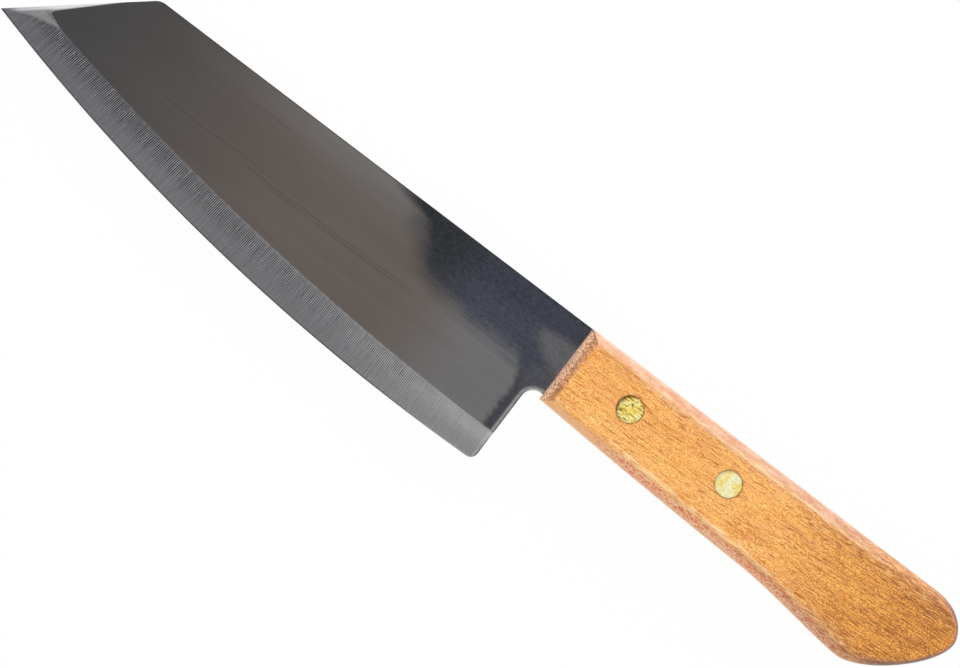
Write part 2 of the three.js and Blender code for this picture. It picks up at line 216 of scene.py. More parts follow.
plain_easing = (SPINE_EASING, EASING_DROP)
stretches = [
    (on_circle(edge_centre, edge_radius, edge_angles), shoulder, SPINE_EASING, 0),
    (on_circle(fillet_centre, HEEL_RADIUS, fillet_angles), bevel_end, HEEL_EASING, HEEL_DROP),
    (heel_back, np.maximum(heel_back - (rim, 0), bevel_end), HEEL_EASING, HEEL_DROP),
    (on_circle(choil_centre, CHOIL_RADIUS, choil_angles),
     on_circle(choil_centre, CHOIL_RADIUS + rim, choil_angles), CHOIL_EASING, HEEL_DROP),
    (neck, np.minimum(neck + (0, rim), (lower_inner[0], spine_y)), *plain_easing),
    (on_circle(lower_corner, TANG_CORNER_RADIUS, lower_turn), lower_inner, *plain_easing),
    (tang_end, np.clip(tang_end, lower_inner, upper_inner), *plain_easing),
    (on_circle(upper_corner, TANG_CORNER_RADIUS, upper_turn), upper_inner, *plain_easing),
    (spine, np.minimum(spine - (0, rim), (upper_inner[0], spine_y)), *plain_easing),
    (on_circle(corner_centre, CLIP_CORNER_RADIUS, corner_turn),
     on_circle(corner_centre, CLIP_CORNER_RADIUS - rim, corner_turn), *plain_easing),
    (clip, clip_inner, SPINE_EASING, EASING_DROP * past_swedge[:-1]),
]


def ring_quads(rings, count):
    """Quads between neighbouring closed rings of points, as rows of four indices."""
    ring, step = np.meshgrid(np.arange(rings - 1), np.arange(count), indexing="ij")
    after = (step + 1) % count
    corners = (ring * count + step, ring * count + after,
               (ring + 1) * count + after, (ring + 1) * count + step)
    return np.stack(corners, axis=-1).reshape(-1, 4).tolist()


def capped_quads(rings, count):
    """Quads between closed rings, with one face over the first ring and one over the last."""
    faces = ring_quads(rings, count)
    faces.append(list(range(count))[::-1])
    faces.append(list(range((rings - 1) * count, rings * count)))
    return faces


def new_piece(name, points, faces):
    """An object whose mesh has these points and faces, with points that coincide merged."""
    mesh = bpy.data.meshes.new(name)
    mesh.from_pydata(points.reshape(-1, 3).tolist(), [], faces)
    work = bmesh.new()
    work.from_mesh(mesh)
    bmesh.ops.remove_doubles(work, verts=work.verts, dist=1e-7)
    work.to_mesh(mesh)
    work.free()
    piece = bpy.data.objects.new(name, mesh)
    bpy.context.scene.collection.objects.link(piece)
    return piece


def turned(name, profile, centre, turns):
    """A turned solid: a profile of radii and heights carried round a vertical axis, from pole to pole."""
    profile = np.asarray(profile)
    around = direction(np.linspace(0, 2 * math.pi, turns, endpoint=False))
    points = np.empty((len(profile), turns, 3))
    points[..., :2] = centre + profile[:, None, :1] * around
    points[..., 2] = profile[:, None, 1]
    return new_piece(name, points, ring_quads(len(profile), turns))


def cut(piece, cutters):
    """Cut solids out of a piece, keep the result as its mesh and remove the solids."""
    for cutter in cutters:
        modifier = piece.modifiers.new("cut", "BOOLEAN")
        modifier.solver = "EXACT"
        modifier.object = cutter
    graph = bpy.context.evaluated_depsgraph_get()
    piece.data = bpy.data.meshes.new_from_object(piece.evaluated_get(graph))
    piece.modifiers.clear()
    for cutter in cutters:
        bpy.data.objects.remove(cutter)


def shade(piece, crease, flat_faces):
    """Smooth shading, broken at edges past the crease angle, with level faces left flat where asked."""
    mesh = piece.data
    mesh.shade_smooth()
    mesh.set_sharp_from_angle(angle=math.radians(crease))
    if flat_faces:
        normals = np.empty(len(mesh.polygons) * 3)
        mesh.polygons.foreach_get("normal", normals)
        mesh.polygons.foreach_set("use_smooth", np.abs(normals[2::3]) < 0.999999)
    mesh.update()


outer = np.concatenate([stretch[0][:-1] for stretch in stretches])
inner = np.concatenate([np.broadcast_to(stretch[1], stretch[0].shape)[:-1] for stretch in stretches])
easing = np.concatenate([np.full(len(stretch[0]) - 1, stretch[2]) for stretch in stretches])
drop = np.concatenate([np.broadcast_to(stretch[3], len(stretch[0]) - 1) for stretch in stretches])
reach = np.linspace(0, 1, BLADE_ROWS + 1) ** ROW_CROWDING
plan = outer + (inner - outer) * reach[:, None, None]
inset = np.linalg.norm(inner - outer, axis=1) * reach[:, None]
half = half_thickness(plan, inset, easing, drop)
blade_rings = np.concatenate((
    np.dstack((plan[::-1], mid_z - half[::-1])),
    np.dstack((plan, mid_z + half)),
))
blade_faces = capped_quads(len(blade_rings), len(outer))
blade = new_piece("ground_blade", blade_rings, blade_faces)

TANG_HOLE_RADIUS = 2.6 * MM
HOLE_TURNS = 64
rivet_centres = {}
for place in ("front", "rear"):
    head_low, head_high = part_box(f"{place}_rivet_barrel")
    rivet_centres[place] = np.array((head_low.x + head_high.x, head_low.y + head_high.y)) / 2
hole_profile = [(0, 0), (TANG_HOLE_RADIUS, 0), (TANG_HOLE_RADIUS, 2 * mid_z), (0, 2 * mid_z)]
cut(blade, [turned("tang_hole", hole_profile, centre, HOLE_TURNS) for centre in rivet_centres.values()])
shade(blade, BLADE_CREASE, True)


class Shade:
    """A socket in a node tree. Arithmetic on it adds Math nodes, and node() adds any other node."""

    def __init__(self, tree, socket=None):
        self.tree = tree
        self.socket = socket

    def node(self, kind, settings, sockets, output=0):
        """Add a node, set its settings, fill or link its sockets and wrap one of its outputs."""
        made = self.tree.nodes.new(kind)
        for name, value in settings.items():
            setattr(made, name, value)
        for name, value in sockets.items():
            if isinstance(value, Shade):
                self.tree.links.new(value.socket, made.inputs[name])
            else:
                made.inputs[name].default_value = value
        return Shade(self.tree, made.outputs[output] if len(made.outputs) else None)

    def math(self, operation, first, second=0.0):
        """Add one Math node."""
        return self.node("ShaderNodeMath", {"operation": operation}, {0: first, 1: second})

    def __add__(self, other):
        return self.math("ADD", self, other)

    def __sub__(self, other):
        return self.math("SUBTRACT", self, other)

    def __rsub__(self, other):
        return self.math("SUBTRACT", other, self)

    def __mul__(self, other):
        return self.math("MULTIPLY", self, other)

    def __truediv__(self, other):
        return self.math("DIVIDE", self, other)

    def __pow__(self, other):
        return self.math("POWER", self, other)

    __radd__ = __add__
    __rmul__ = __mul__


def colour(red, green, blue):
    """A colour in the renderer's linear values, from the usual 0 to 255."""
    scaled = np.array((red, green, blue)) / 255
    linear = np.where(scaled <= 0.04045, scaled / 12.92, ((scaled + 0.055) / 1.055) ** 2.4)
    return (*linear.tolist(), 1.0)


def step(value, low, high):
    """0 below low, 1 above high and a smooth rise between them."""
    return value.node("ShaderNodeMapRange", {"interpolation_type": "SMOOTHSTEP"},
                      {"Value": value, "From Min": low, "From Max": high})


def fall(value, low, high):
    """1 below low, 0 above high and a smooth fall between them."""
    return 1 - step(value, low, high)


def between(value, rising, falling):
    """1 from the end of a rise to the start of a fall, each a pair of values, and 0 outside them."""
    return step(value, *rising) * fall(value, *falling)


def distance(first, second):
    """The length of two offsets at right angles: the root of the sum of their squares."""
    return (first * first + second * second) ** 0.5


def noise(place, stretch, detail=2.0, offset=(0, 0, 0)):
    """Noise from 0 to 1 with so many features a millimetre along each axis."""
    drawn = place.node("ShaderNodeVectorMath", {"operation": "MULTIPLY_ADD"},
                       {0: place, 1: stretch, 2: offset})
    return place.node("ShaderNodeTexNoise", {}, {"Vector": drawn, "Scale": 1.0, "Detail": detail})


def mix(factor, first, second):
    """The first colour where the factor is 0 and the second where it is 1."""
    return factor.node("ShaderNodeMix", {"data_type": "RGBA"}, {0: factor, 6: first, 7: second}, 2)


def overlaid(tint, layers):
    """A colour under layers, each an amount and a colour, laid on in their order."""
    for amount, laid in layers:
        tint = mix(amount, tint, laid)
    return tint


def brighten(tint, factor):
    """A colour multiplied by a value."""
    return tint.node("ShaderNodeVectorMath", {"operation": "SCALE"}, {0: tint, "Scale": factor})


def new_material(name):
    """A new material and a Shade to begin its nodes with."""
    material = bpy.data.materials.new(name)
    material.use_nodes = True
    material.node_tree.nodes.clear()
    return material, Shade(material.node_tree)


def local_millimetres(start):
    """Object coordinates in millimetres from the handle's front, the spine and the middle of the sheet."""
    place = start.node("ShaderNodeTexCoord", {}, {}, "Object")
    origin = (-front_x / MM, -spine_y / MM, -mid_z / MM)
    return start.node("ShaderNodeVectorMath", {"operation": "MULTIPLY_ADD"},
                      {0: place, 1: (1 / MM, 1 / MM, 1 / MM), 2: origin})


def parts(place):
    """The three numbers of a vector."""
    return [place.node("ShaderNodeSeparateXYZ", {}, {0: place}, axis) for axis in "XYZ"]


def surface(start, height, depth, sockets):
    """End a material in one shader, with a bump of a real depth in millimetres."""
    bump = start.node("ShaderNodeBump", {}, {"Strength": 1.0, "Distance": depth * MM, "Height": height})
    shader = start.node("ShaderNodeBsdfPrincipled", {}, {**sockets, "Normal": bump})
    start.node("ShaderNodeOutputMaterial", {}, {"Surface": shader})


def offsets(x, y, point):
    """How far a place lies from a point of the plan, along and across, in millimetres."""
    point_x, point_y = (point - (front_x, spine_y)) / MM
    return x - point_x, y - point_y


def past_line(x, y, point, out):
    """Distance in millimetres past a line in the plan, through a point and square to a direction."""
    along, across = offsets(x, y, point)
    return along * out[0] + across * out[1]


# The flat's greys below are painted reflection, changing along the blade.
FLAT_REFLECTION_AT_TIP = (0.295, 0.295, 0.305, 1)
FLAT_REFLECTION_IN_MIDDLE = (0.65, 0.55, 0.49, 1)
FLAT_REFLECTION_AT_HEEL = (0.80, 0.775, 0.79, 1)
FLAT_REFLECTION_BY_SPINE = (0.82, 0.77, 0.74, 1)
# Tints of the painted dark reflection near the handle.
DARK_REFLECTION_TINTS = ((0.116, 0.123, 0.141, 1), (0.176, 0.191, 0.249, 1))
# The bevel's greys below are painted reflection, changing along the blade.
BEVEL_REFLECTION_AT_TIP = (0.322, 0.318, 0.350, 1)
BEVEL_REFLECTION_IN_MIDDLE = (0.402, 0.396, 0.416, 1)
BEVEL_REFLECTION_AT_HEEL = (0.582, 0.574, 0.592, 1)
FACET_TINTS = ((0.30, 0.30, 0.30, 1), (0.62, 0.62, 0.61, 1))
# The swedge's bright tint is a painted highlight.
SWEDGE_HIGHLIGHT_TINTS = ((0.82, 0.82, 0.84, 1), (0.42, 0.42, 0.43, 1))
EASED_TINTS = ((0.20, 0.20, 0.21, 1), (0.80, 0.80, 0.83, 1))
HATCH_PITCH = 0.48
SCORE_LEAD_IN = 12
SCORE_LEAD_OUT = 8
STEEL_RELIEF = 0.006

steel, start = new_material("polished_steel")
place = local_millimetres(start)
x, y = parts(place)[:2]
depth = 0 - y
edge_x, edge_y = offsets(x, y, edge_centre)
from_edge = edge_radius / MM - distance(edge_x, edge_y)
along_edge = start.math("ARCTAN2", edge_x, 0 - edge_y) * (edge_radius / MM)
off_middle = (x - BEVEL_WIDEST_X / MM) / (BEVEL_HALF_SPAN / MM)
from_shoulder = from_edge - BEVEL_WIDTH / MM + off_middle * off_middle * (BEVEL_NARROWING / MM)

# The polish leaves long streaks and a few brown scores, each given by its depth below the spine and its
# two ends. The grey is a painted reflection: it turns from cool and dark at the tip to warm in the middle
# and pale at the heel, and is paler along the spine.
wide_streaks = noise(place, (0.006, 0.3, 0), 2)
fine_streaks = noise(place, (0.03, 4, 0), 3)
clouds = noise(place, (0.03, 0.07, 0), 2)
spine_side = fall(depth, 0, 13) * step(x, -128, -60)
flat_tint = mix(step(x, -165, -60), FLAT_REFLECTION_AT_TIP, FLAT_REFLECTION_IN_MIDDLE)
flat_tint = overlaid(flat_tint, [(step(x, -46, -18), FLAT_REFLECTION_AT_HEEL), (spine_side, FLAT_REFLECTION_BY_SPINE)])
flat_tint = brighten(flat_tint, 0.82 + 0.16 * wide_streaks + 0.08 * fine_streaks + 0.12 * clouds)
waver = noise(place, (0.05, 0, 0), 2) - 0.5
SCORES = ((6.2, -108, -84), (18.4, -126, -70), (19.8, -100, -38), (20.7, -92, -39))
for score_depth, score_from, score_to in SCORES:
    aside = start.math("ABSOLUTE", depth + 1.2 * waver - score_depth)
    span = between(x, (score_from, score_from + SCORE_LEAD_IN), (score_to - SCORE_LEAD_OUT, score_to))
    score = fall(aside, 0.05, 0.5) * span * step(fine_streaks, 0.35, 0.65)
    flat_tint = mix(score * 0.42, flat_tint, (0.30, 0.235, 0.225, 1))

# Near the handle the flat is painted with a dark bluish reflection, and the steel is rougher there. Its
# borders wander and end in streaks, and it is thinner in a patch by the handle and paler above the choil.
wander = noise(place, (0.09, 0.22, 0), 3, (7, 3, 0)) - 0.5
mottle = noise(place, (0.6, 1.2, 0), 4, (1, 9, 0))
dark_reflection_grain = noise(place, (0.9, 2.6, 0), 3, (5, 5, 0))
streaky = fine_streaks - 0.5
by_spine = fall(depth, 1.2, 3.2)
behind_dark_reflection = step(x + 8 * wander + 8 * streaky - 0.8 * depth + 4 * by_spine, -60, -49)
above_dark_reflection = fall(depth - 0.06 * x + 4 * wander + 5 * streaky + 0.8 * mottle, 15, 22.4)
beside_dark_reflection = step(x + 2.5 * wander + 3 * mottle - 2.5 * step(depth, 15, 23), -9.8, -7.6)
dark_reflection = behind_dark_reflection * (1 - (1 - above_dark_reflection) * (1 - beside_dark_reflection))
thin_patch_way = (x + 10.5) / 10
thin_reflection_patch = step(x + 3 * wander + mottle, -12.5, -6.5)
thin_reflection_patch = thin_reflection_patch * step(depth + 1.3 * thin_patch_way + 2 * wander, 5.6, 8.8)
thin_reflection_patch = thin_reflection_patch * fall(depth - 5.5 * thin_patch_way + 3 * wander + mottle, 8, 12)
dark_reflection = dark_reflection * (1 - (0.1 + 0.8 * mottle) * thin_reflection_patch)
dark_reflection_light = 0.8 * mottle + 1.1 * dark_reflection_grain + 0.25 * fine_streaks + 0.5 * clouds - 0.32
dark_reflection_light = (dark_reflection_light + 0.2 * step(depth, 4, 11)) * (1 - 0.35 * step(depth, 19, 23))
dark_reflection_tint = brighten(mix(step(x, -42, -26), *DARK_REFLECTION_TINTS), dark_reflection_light)
pale_low_reflection = step(x + mottle, -9, -4) * step(depth + 3 * wander, 13, 17)
dark_reflection_tint = mix(pale_low_reflection * (0.1 + 0.5 * mottle), dark_reflection_tint, (0.42, 0.41, 0.42, 1))
flat_tint = mix(dark_reflection, flat_tint, dark_reflection_tint)

# The bevel's grinding lines run square to the edge, in uneven dashes, and are deepest by the shoulder.
# The bevel's grey is a painted reflection: by the shoulder it is darker than by its edge at the tip, and
# brighter at the heel. The shoulder itself is a broken line of painted highlight.
ground = start.node("ShaderNodeCombineXYZ", {}, {0: along_edge, 1: from_edge})
grinding = noise(ground, (1.6, 0.12, 0), 3)
hatch = start.math("SINE", along_edge * (2 * math.pi / HATCH_PITCH) + 4 * grinding) * 0.5 + 0.5
lines = grinding * 0.3 + hatch * 0.7
by_shoulder = step(from_edge, 2.5, 7.5)
patchy = step(noise(ground, (0.3, 0.4, 0), 2, (5, 2, 0)), 0.35, 0.6)
dashes = noise(ground, (1.9, 1.5, 0), 2, (1, 4, 0))
contrast = (0.55 + 1.25 * by_shoulder * patchy) * (0.4 + 1.4 * dashes)
contrast = contrast * (2.2 - 0.45 * step(x, -110, -50) - 0.85 * step(x, -35, -12))
heel_specks = (noise(ground, (2.2, 1.8, 0), 3, (3, 8, 0)) - 0.5) * step(x, -40, -10)
shoulder_rise = 0.5 * step(x, -120, -30) + 0.42 * step(x, -35, -5) - 0.34 + 0.6 * heel_specks
bevel_light = 0.97 + shoulder_rise * by_shoulder + (lines - 0.5) * contrast
bevel_light = bevel_light + 0.15 * mottle + 0.3 * dashes
bevel_tint = mix(step(x, -165, -95), BEVEL_REFLECTION_AT_TIP, BEVEL_REFLECTION_IN_MIDDLE)
bevel_tint = brighten(mix(step(x, -65, -12), bevel_tint, BEVEL_REFLECTION_AT_HEEL), bevel_light)
on_bevel = fall(from_shoulder, -0.2, 0.1)
# A painted highlight: a broken bright line along the shoulder.
shoulder_highlight = between(from_shoulder, (-0.7, -0.1), (0, 0.4)) * step(x, -140, -50)
shoulder_highlight = shoulder_highlight * (0.25 + 0.75 * step(noise(ground, (0.6, 0, 0), 3), 0.4, 0.6))

# The tip's facet and the swedge are smoother, with a painted highlight in a bright strip along the clip.
# They end a few millimetres short of the point, and the bevel's lines run on there.
rounding = CORNER_ROUNDING / MM
past_swedge_line = start.math("MAXIMUM", past_line(x, y, flat_corner, swedge_out) + rounding, 0)
past_facet_line = start.math("MAXIMUM", past_line(x, y, flat_corner, facet_out) + rounding, 0)
past_corner = distance(past_swedge_line, past_facet_line) - rounding
bevel_fall = from_shoulder * ((BEVEL_EDGE_HALF - sheet_half) / bevel_width(facet_end[0]))
over_ridge = step(past_corner * FACET_SLOPE - bevel_fall, -0.012, 0.012)
on_tip = step(past_corner, 0, 0.25) * over_ridge * step(x, -164, -160.5)
on_swedge = on_tip * step(past_swedge_line, rounding, rounding + 0.4)
from_clip = 0 - past_line(x, y, tip, direction(CLIP_ANGLE + math.pi / 2))

# The heel's back and the choil are eased bright by hand, with dark specks. Thin dark lines of painted
# shade run along the sheared outline, the spine and the keen edge.
choil_x, choil_y = offsets(x, y, choil_centre)
before_choil = start.math("MAXIMUM", 0 - choil_x, 0)
above_choil = start.math("MAXIMUM", choil_y, 0)
from_back = distance(before_choil, above_choil) - CHOIL_RADIUS / MM
eased_width = HEEL_EASING / MM
on_back = fall(from_back + 0.5 * mottle, eased_width - 0.1, eased_width + 0.4)
spine_line = fall(depth, 0.12, 0.34)
back_line = fall(from_back, 0.26, 0.56) * step(depth, 21, 24) * (1 - 0.5 * on_bevel)
keen_line = fall(from_edge, 0.22, 0.6) * (1 - 0.6 * step(x, -40, -10))
outline_shade = start.math("MAXIMUM", start.math("MAXIMUM", spine_line, back_line), keen_line)

tint = overlaid(flat_tint, [
    (on_bevel, bevel_tint),
    (shoulder_highlight * 0.75, (0.86, 0.83, 0.82, 1)),
    (on_tip, mix(mottle, *FACET_TINTS)),
    (on_swedge, mix(step(from_clip, 0.6, 1.1), *SWEDGE_HIGHLIGHT_TINTS)),
    (on_back * (1 - 0.6 * on_bevel), mix(mottle, *EASED_TINTS)),
    (outline_shade * 0.85, (0.10, 0.10, 0.105, 1)),
])
rough = 0.16 + 0.08 * fine_streaks + 0.10 * dark_reflection * (1 - on_bevel)
rough = rough + on_bevel * (0.10 + 0.06 * lines) + on_tip * 0.12 + on_back * 0.12
relief = fine_streaks * 0.25 + on_bevel * (1 - on_tip) * lines
surface(start, relief, STEEL_RELIEF, {"Base Color": tint, "Metallic": 1.0, "Roughness": rough})
blade.data.materials.append(steel)
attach(blade, "root")
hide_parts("blade")


# Handle: one block of orange-tan hardwood, sawn to its outline, slit from the front for the tang and
# bored for the rivets. Its edges are rounded by hand on a sander, its front end is chamfered, and a thin
# varnish fills only part of the pores.

handle_half = (handle_high.z - handle_low.z) / 2
handle_length = (handle_high.x - handle_low.x) / MM
butt_bottom = (handle_high.y - handle_low.y) / MM
FRONT_WIDTH = 21.8
WAIST_X = 66
WAIST_WIDTH = 24.6
BUTT_X = 96.5
FLARE_LEAD_IN = 8
FLARE_LEAD_OUT = 5
BUTT_LEAD_IN = 7.5
BUTT_LEAD_OUT = 7
NOSE_X = 107
NOSE_DROP = 8
NOSE_LEAD_IN = 8
NOSE_LEAD_OUT = 2.4
BELLY_X = 33
BELLY_WIDTH = 23.7
FLARE_LEAD_WIDTH = 24.82
SIDE_ROUND_FRONT = 2.3
SIDE_ROUND_REAR = 3.1
BUTT_ROUND = 1.2
LOWER_EXTRA = 0.5
LOWER_EXTRA_RISE = (4, 30)
LOWER_EXTRA_FALL = (BUTT_X - 10, BUTT_X + 10)
FRONT_CHAMFER = 3.2
CHAMFER_FADE = 16
ROUND_DEPTH = 4 * MM
ROUND_CREASE = math.radians(20)
CREASE_FILLET = 0.12 * MM
BLEND_PAST_CREASE = 1.18
CREASE_GONE = (72, 98)
FACE_CORNER = 1.0
FACE_CORNER_REACH = 1.8
SANDING_WAVE = 0.12
LONG_WAVE = 6.1
SHORT_WAVE = 2.3
SHORT_WAVE_SHARE = 0.6
SANDING_HOLLOW = 0.03 * MM
CHAIN_STEPS = 300
FACE_STEPS = 56
ARC_STEPS = 14
BLEND_STEPS = 5
HANDLE_CREASE = 35


def bezier(controls, count=200):
    """Points on a Bezier curve, by mixing neighbouring control points until one is left."""
    share = np.linspace(0, 1, count)[:, None]
    level = [np.array(control, float) for control in controls]
    while len(level) > 1:
        level = [first + (second - first) * share for first, second in zip(level, level[1:])]
    return level[0]


def evenly(points, count):
    """The same path with points at equal distances along it."""
    lengths = np.linalg.norm(np.diff(points, axis=0), axis=1)
    travelled = np.concatenate(((0,), np.cumsum(lengths)))
    wanted = np.linspace(0, travelled[-1], count)
    return np.column_stack([np.interp(wanted, travelled, points[:, axis]) for axis in (0, 1)])


def smooth_step(value, low, high):
    """0 below low, 1 above high and a smooth rise between them, for arrays."""
    share = np.clip((value - low) / (high - low), 0, 1)
    return share * share * (3 - 2 * share)


def rounding_width(along):
    """Width of the rounded band: it grows evenly to the butt and narrows round it, and the sander's waves
    are added, a long and a short sine."""
    side = SIDE_ROUND_FRONT + (SIDE_ROUND_REAR - SIDE_ROUND_FRONT) * np.minimum(along / BUTT_X, 1)
    width = side + (BUTT_ROUND - side) * smooth_step(along, BUTT_X, handle_length)
    waves = np.sin(along / LONG_WAVE) + SHORT_WAVE_SHARE * np.sin(along / SHORT_WAVE + 1)
    return width + SANDING_WAVE * waves * width / SIDE_ROUND_REAR


butt_end = (handle_length, -NOSE_DROP)
top_path = np.concatenate((
    bezier([(0, 0), (NOSE_X, 0)]),
    bezier([(NOSE_X, 0), (NOSE_X + NOSE_LEAD_IN, 0),
            (handle_length, NOSE_LEAD_OUT - NOSE_DROP), butt_end])[1:],
))
bottom_path = np.concatenate((
    bezier([(0, -FRONT_WIDTH), (BELLY_X, -BELLY_WIDTH), (WAIST_X, -WAIST_WIDTH)]),
    bezier([(WAIST_X, -WAIST_WIDTH), (WAIST_X + FLARE_LEAD_IN, -FLARE_LEAD_WIDTH),
            (BUTT_X - FLARE_LEAD_OUT, -butt_bottom), (BUTT_X, -butt_bottom)])[1:],
    bezier([(BUTT_X, -butt_bottom), (BUTT_X + BUTT_LEAD_IN, -butt_bottom),
            (handle_length, -NOSE_DROP - BUTT_LEAD_OUT), butt_end])[1:],
))


def face_corner(away):
    """What rounds the face's front corners: a bell curve of the distance from the corner."""
    return FACE_CORNER * np.exp(-(away / FACE_CORNER_REACH) ** 2)


def rounded_chain(path, side):
    """A side of the outline from front to butt, and the crease behind it: inward by the band's width, which
    is a little more on the lower side, and along by the chamfer's length at the front, which fades out."""
    chain = evenly(path, CHAIN_STEPS + 1)
    tangent = np.gradient(chain, axis=0)
    tangent[-1] = (0, -side)
    tangent /= np.linalg.norm(tangent, axis=1)[:, None]
    inward = side * np.column_stack((tangent[:, 1], -tangent[:, 0]))
    along = FRONT_CHAMFER * (1 - smooth_step(chain[:, 0], 0, CHAMFER_FADE)) + face_corner(chain[:, 0])
    width = rounding_width(chain[:, 0]) + face_corner(chain[:, 0])
    if side < 0:
        rise = smooth_step(chain[:, 0], *LOWER_EXTRA_RISE)
        fade = 1 - smooth_step(chain[:, 0], *LOWER_EXTRA_FALL)
        width += LOWER_EXTRA * rise * fade
    crease = chain + inward * width[:, None] + tangent * along[:, None]
    return chain, crease


top_chain, top_crease = rounded_chain(top_path, 1)
bottom_chain, bottom_crease = rounded_chain(bottom_path, -1)
bottom_crease[-1] = top_crease[-1]
across = np.linspace(0, 1, FACE_STEPS + 1)[1:-1, None]
front_outer = top_chain[0] + (bottom_chain[0] - top_chain[0]) * across
front_crease = top_crease[0] + (bottom_crease[0] - top_crease[0]) * across
to_corner = np.minimum(across[:, 0], 1 - across[:, 0]) * FRONT_WIDTH
front_crease[:, 0] += face_corner(to_corner) - face_corner(0)
loop = np.concatenate((top_chain[::-1], front_outer, bottom_chain[:-1]))
crease_loop = np.concatenate((top_crease[::-1], front_crease, bottom_crease[:-1]))

crease_angle = ROUND_CREASE * (1 - smooth_step(loop[:, 0], *CREASE_GONE))
angles = math.pi / 2 + (crease_angle - math.pi / 2) * np.linspace(0, 1, ARC_STEPS)[:, None]
lift = 1 - np.sin(crease_angle)
to_crease = 1 - (np.sin(angles) - np.sin(crease_angle)) / lift
past_crease = np.linspace(1, BLEND_PAST_CREASE, BLEND_STEPS + 1)[1:, None]
shares = np.concatenate((to_crease, np.broadcast_to(past_crease, (BLEND_STEPS, len(loop)))))


def rounded_height(share):
    """Height of the band over the middle plane: an arc that rises from the wall to the crease, where a
    small fillet takes it into the face. The share is 0 at the outline and 1 at the crease, which is
    sharpest at the handle's front and gone at its butt."""
    sine = np.maximum(np.sin(crease_angle) + (1 - share) * lift, 0)
    arc = handle_half - ROUND_DEPTH * (1 - np.sqrt(1 - sine ** 2) / np.cos(crease_angle))
    fillet = CREASE_FILLET * (1 / np.cos(crease_angle) - 1) / (1 / math.cos(ROUND_CREASE) - 1) + 1e-9
    near = np.maximum(fillet - np.abs(arc - handle_half), 0) / fillet
    near = np.where(share > BLEND_PAST_CREASE - 0.01, 0, near)
    return np.minimum(arc, handle_half) - near ** 2 * fillet / 4


def sanded(plan, height):
    """The height less the shallow hollows that sanding leaves: two crossing sine waves, from nothing at
    the wall to their full depth in the face."""
    px, py = plan[..., 0], plan[..., 1]
    waves = 1 + 0.5 * np.sin(px / 7.3 + py / 9) + 0.5 * np.sin(px / 17 - py / 5 + 1)
    raised = (height - (handle_half - ROUND_DEPTH)) / ROUND_DEPTH
    return height - SANDING_HOLLOW * waves * raised


def place_in_frame(plan, height):
    """Points in the part's frame, from millimetres in the handle's plan and heights over its middle."""
    return np.dstack((front_x + plan[..., 0] * MM, spine_y + plan[..., 1] * MM, mid_z + height))


bands = loop + (crease_loop - loop) * shares[:, :, None]
band_height = sanded(bands, rounded_height(shares))
lower_rings = place_in_frame(bands[::-1], -band_height[::-1])
rings = np.concatenate((lower_rings, place_in_frame(bands, band_height)))
handle_faces = ring_quads(len(rings), len(loop))

top_border = top_chain + (top_crease - top_chain) * BLEND_PAST_CREASE
bottom_border = bottom_chain + (bottom_crease - bottom_chain) * BLEND_PAST_CREASE
over = np.linspace(0, 1, FACE_STEPS + 1)[:, None]
face = top_border[:, None] + (bottom_border - top_border)[:, None] * over
face[0, 1:-1] = front_outer + (front_crease - front_outer) * BLEND_PAST_CREASE
face_height = sanded(face, np.full(face.shape[:2], handle_half))
face_index = np.arange(face.shape[0] * face.shape[1]).reshape(face.shape[:2])
grid_corners = (face_index[:-1, :-1], face_index[:-1, 1:], face_index[1:, 1:], face_index[1:, :-1])
grid = np.stack(grid_corners, axis=-1).reshape(-1, 4)
upper_face = place_in_frame(face, face_height).reshape(-1, 3)
lower_face = place_in_frame(face, -face_height).reshape(-1, 3)
ring_points = rings.reshape(-1, 3)
handle_points = np.concatenate((ring_points, upper_face, lower_face))
handle_faces += (grid + len(ring_points)).tolist()
handle_faces += (grid[:, ::-1] + len(ring_points) + len(upper_face)).tolist()
handle = new_piece("shaped_handle", handle_points, handle_faces)

KERF_HALF = 0.85 * MM
KERF_END_CLEARANCE = 0.5 * MM
KERF_LEAD_IN = 5 * MM
SAW_RADIUS = 100 * MM
SAW_OVERSHOOT = 15 * MM
SAW_STEPS = 48
BORE_RADIUS = 2.6 * MM
BORE_TURNS = 96
BORE_OVERSHOOT = 1 * MM
SEAT_RADIUS = 3.51 * MM
HEAD_THICKNESS = 1.6 * MM
head_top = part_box("front_rivet_barrel")[1].z - mid_z
seat = head_top - HEAD_THICKNESS
beyond = handle_half + BORE_OVERSHOOT
bore_profile = np.array((
    (0, -beyond), (SEAT_RADIUS, -beyond), (SEAT_RADIUS, -seat), (BORE_RADIUS, -seat),
    (BORE_RADIUS, seat), (SEAT_RADIUS, seat), (SEAT_RADIUS, beyond), (0, beyond),
)) + (0, mid_z)
cutters = [turned("bore", bore_profile, centre, BORE_TURNS) for centre in rivet_centres.values()]

# The saw's round end stops just behind the tang's corners.
saw_half = NECK_WIDTH / 2
saw_y = spine_y - saw_half
saw_end = tang_x + KERF_END_CLEARANCE
saw_x = saw_end - math.sqrt(SAW_RADIUS ** 2 - saw_half ** 2)
saw_reach = math.asin((saw_half + SAW_OVERSHOOT) / SAW_RADIUS)
saw_arc = on_circle((saw_x, saw_y), SAW_RADIUS, np.linspace(-saw_reach, saw_reach, SAW_STEPS))
before_front = front_x - KERF_LEAD_IN
kerf_plan = np.concatenate((saw_arc, [(before_front, saw_arc[-1, 1]), (before_front, saw_arc[0, 1])]))
kerf_rings = np.stack([np.column_stack((kerf_plan, np.full(len(kerf_plan), mid_z + level)))
                       for level in (-KERF_HALF, KERF_HALF)])
cutters.append(new_piece("kerf", kerf_rings, capped_quads(2, len(kerf_plan))))
cut(handle, cutters)
shade(handle, HANDLE_CREASE, False)

